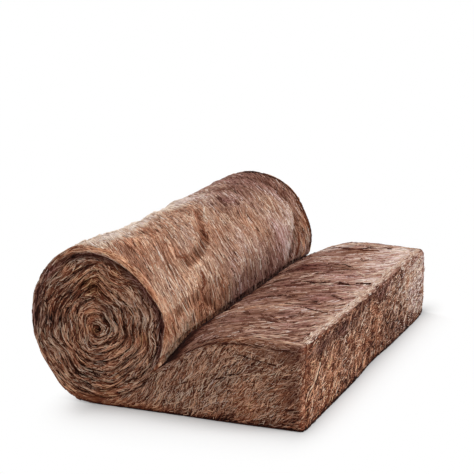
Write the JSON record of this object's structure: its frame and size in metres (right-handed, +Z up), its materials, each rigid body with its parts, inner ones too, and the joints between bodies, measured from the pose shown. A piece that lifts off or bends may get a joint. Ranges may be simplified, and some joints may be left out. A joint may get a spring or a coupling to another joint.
{
  "type": "insulation roll",
  "caption": "Brown mineral wool loft blanket wound into a tight spiral roll, its free end leaving the roll at the floor and lying flat at full thickness to a square cut.",
  "frame": {"origin": "on the floor, under the middle of the part's bounding box", "axes": "+Y along the roll's axis, +X from the roll towards the blanket's cut end, +Z up"},
  "size_m": [0.743, 1.14, 0.4102],
  "materials": {
    "mineral_wool": "matte, fibrous, uneven brown"
  },
  "bodies": {
    "root": {"mineral_wool_blanket": "mineral_wool"}
  },
  "joints": []
}
